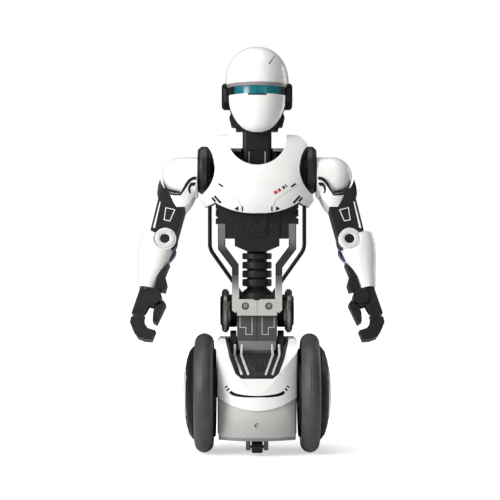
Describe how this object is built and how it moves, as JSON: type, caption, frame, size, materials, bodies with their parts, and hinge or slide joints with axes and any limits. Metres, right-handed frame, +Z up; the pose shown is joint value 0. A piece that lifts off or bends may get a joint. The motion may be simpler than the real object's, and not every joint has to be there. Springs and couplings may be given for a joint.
{
  "type": "self balancing toy robot",
  "caption": "White and black humanoid toy robot balancing on side wheels, with a ribbed tilting waist, turning helmeted head, jointed arms and grasping hands.",
  "frame": {"origin": "on the floor midway between the wheels", "axes": "+Z up, -Y the way the robot faces, +X its left hand side"},
  "size_m": [0.2412, 0.116, 0.396],
  "materials": {
    "white_shell": "glossy moulded",
    "black_plastic": "fine matte texture",
    "black_hub": "semi gloss",
    "disc_black": "satin",
    "dark_grey": "satin",
    "light_grey": "satin",
    "tray_grey": "satin",
    "tyre_rubber": "ribbed rubber",
    "visor_teal": "polished",
    "strip_white": "glossy",
    "screw_steel": "brushed",
    "motor_steel": "brushed can",
    "cell_skin": "satin wrap",
    "board_green": "solder mask",
    "gear_black": "satin"
  },
  "bodies": {
    "chassis": {"base_front_shell": "white_shell", "base_rear_shell": "white_shell", "base_tray": "tray_grey", "recess_panel": "dark_grey", "recess_light_strips": "strip_white", "front_vent_bars": "black_plastic", "drive_motors": "motor_steel", "battery_cells": "cell_skin", "battery_door": "tray_grey", "base_circuit_board": "board_green", "base_screws": "screw_steel", "hip_column": "dark_grey", "roller_supports": "light_grey"},
    "front_roller": {"roller_front": "black_plastic"},
    "rear_roller": {"roller_rear": "black_plastic"},
    "switch": {"power_switch": "black_plastic"},
    "torso": {"chest_shell": "white_shell", "back_shell": "white_shell", "torso_frame": "black_plastic", "waist_bellows": "black_plastic", "side_struts": "dark_grey", "hip_block": "light_grey", "side_tubes": "black_plastic", "torso_screws": "screw_steel", "hip_discs": "disc_black", "hip_axle": "screw_steel", "neck_post": "black_plastic"},
    "head": {"helmet": "white_shell", "face_plate": "white_shell", "visor": "visor_teal", "head_frame": "black_plastic", "ear_caps": "black_plastic"},
    "wheel_left": {"tyre_left": "tyre_rubber", "wheel_rim_left": "black_hub", "hub_cap_left": "white_shell", "axle_gear_left": "gear_black"},
    "motor_pinion_left": {"pinion_left": "gear_black"},
    "shoulder_left": {"shoulder_disc_left": "disc_black", "shoulder_ball_left": "white_shell"},
    "arm_left": {"deltoid_shell_left": "white_shell", "upper_arm_left": "black_plastic"},
    "forearm_left": {"forearm_shell_left": "white_shell", "forearm_guard_left": "black_plastic"},
    "hand_left": {"hand_palm_left": "black_plastic"},
    "thumb_link_left": {"thumb_left": "black_plastic"},
    "finger_link_left": {"fingers_left": "black_plastic"},
    "wheel_right": {"tyre_right": "tyre_rubber", "wheel_rim_right": "black_hub", "hub_cap_right": "white_shell", "axle_gear_right": "gear_black"},
    "motor_pinion_right": {"pinion_right": "gear_black"},
    "shoulder_right": {"shoulder_disc_right": "disc_black", "shoulder_ball_right": "white_shell"},
    "arm_right": {"deltoid_shell_right": "white_shell", "upper_arm_right": "black_plastic"},
    "forearm_right": {"forearm_shell_right": "white_shell", "forearm_guard_right": "black_plastic"},
    "hand_right": {"hand_palm_right": "black_plastic"},
    "thumb_link_right": {"thumb_right": "black_plastic"},
    "finger_link_right": {"fingers_right": "black_plastic"}
  },
  "joints": [
    {"name": "roller_front_spin", "type": "hinge", "parent": "chassis", "child": "front_roller", "pos_m": [0, -0.03, 0.0092], "axis": [1, 0, 0], "continuous": true},
    {"name": "roller_rear_spin", "type": "hinge", "parent": "chassis", "child": "rear_roller", "pos_m": [0, 0.03, 0.0092], "axis": [1, 0, 0], "continuous": true},
    {"name": "power_switch_slide", "type": "slide", "parent": "chassis", "child": "switch", "axis": [1, 0, 0], "range_m": [-0.0024, 0.0024]},
    {"name": "waist_tilt", "type": "hinge", "parent": "chassis", "child": "torso", "pos_m": [0, 0, 0.1381], "axis": [1, 0, 0], "range_deg": [-12, 12]},
    {"name": "head_turn", "type": "hinge", "parent": "torso", "child": "head", "pos_m": [0, 0, 0.3132], "axis": [0, 0, 1], "range_deg": [-60, 60]},
    {"name": "wheel_left_spin", "type": "hinge", "parent": "chassis", "child": "wheel_left", "pos_m": [0.05145, 0, 0.058], "axis": [1, 0, 0], "continuous": true},
    {"name": "pinion_left_spin", "type": "hinge", "parent": "chassis", "child": "motor_pinion_left", "pos_m": [0.032, 0, 0.0388], "axis": [1, 0, 0], "continuous": true},
    {"name": "shoulder_left_swing", "type": "hinge", "parent": "torso", "child": "shoulder_left", "pos_m": [0.05, 0, 0.2752], "axis": [-1, 0, 0], "range_deg": [-45, 120]},
    {"name": "shoulder_left_raise", "type": "hinge", "parent": "shoulder_left", "child": "arm_left", "pos_m": [0.073, -0.00189, 0.26815], "axis": [0, -0.9659, 0.2588], "range_deg": [0, 68]},
    {"name": "elbow_left_bend", "type": "hinge", "parent": "arm_left", "child": "forearm_left", "pos_m": [0.0885, -0.01863, 0.20565], "axis": [0, 0.9659, -0.2588], "range_deg": [0, 44]},
    {"name": "wrist_left_turn", "type": "hinge", "parent": "forearm_left", "child": "hand_left", "pos_m": [0.1038, -0.0308, 0.16026], "axis": [0.1788, -0.2546, -0.9504], "range_deg": [-80, 80]},
    {"name": "thumb_left_bend", "type": "hinge", "parent": "hand_left", "child": "thumb_link_left", "pos_m": [0.0986, -0.0331, 0.15166], "axis": [0, -0.9659, 0.2588], "range_deg": [-9, 8]},
    {"name": "fingers_left_bend", "type": "hinge", "parent": "hand_left", "child": "finger_link_left", "pos_m": [0.1112, -0.03768, 0.13456], "axis": [0, 0.9659, -0.2588], "range_deg": [-16, 10]},
    {"name": "wheel_right_spin", "type": "hinge", "parent": "chassis", "child": "wheel_right", "pos_m": [-0.05145, 0, 0.058], "axis": [1, 0, 0], "continuous": true},
    {"name": "pinion_right_spin", "type": "hinge", "parent": "chassis", "child": "motor_pinion_right", "pos_m": [-0.032, 0, 0.0388], "axis": [1, 0, 0], "continuous": true},
    {"name": "shoulder_right_swing", "type": "hinge", "parent": "torso", "child": "shoulder_right", "pos_m": [-0.05, 0, 0.2752], "axis": [-1, 0, 0], "range_deg": [-45, 120]},
    {"name": "shoulder_right_raise", "type": "hinge", "parent": "shoulder_right", "child": "arm_right", "pos_m": [-0.073, -0.00189, 0.26815], "axis": [0, 0.9659, -0.2588], "range_deg": [0, 68]},
    {"name": "elbow_right_bend", "type": "hinge", "parent": "arm_right", "child": "forearm_right", "pos_m": [-0.0885, -0.01863, 0.20565], "axis": [0, -0.9659, 0.2588], "range_deg": [0, 44]},
    {"name": "wrist_right_turn", "type": "hinge", "parent": "forearm_right", "child": "hand_right", "pos_m": [-0.1038, -0.0308, 0.16026], "axis": [-0.1788, -0.2546, -0.9504], "range_deg": [-80, 80]},
    {"name": "thumb_right_bend", "type": "hinge", "parent": "hand_right", "child": "thumb_link_right", "pos_m": [-0.0986, -0.0331, 0.15166], "axis": [0, 0.9659, -0.2588], "range_deg": [-9, 8]},
    {"name": "fingers_right_bend", "type": "hinge", "parent": "hand_right", "child": "finger_link_right", "pos_m": [-0.1112, -0.03768, 0.13456], "axis": [0, -0.9659, 0.2588], "range_deg": [-16, 10]}
  ],
  "couplings": [
    {"joint": "pinion_left_spin", "follows": "wheel_left_spin", "ratio": -3},
    {"joint": "pinion_right_spin", "follows": "wheel_right_spin", "ratio": -3}
  ]
}
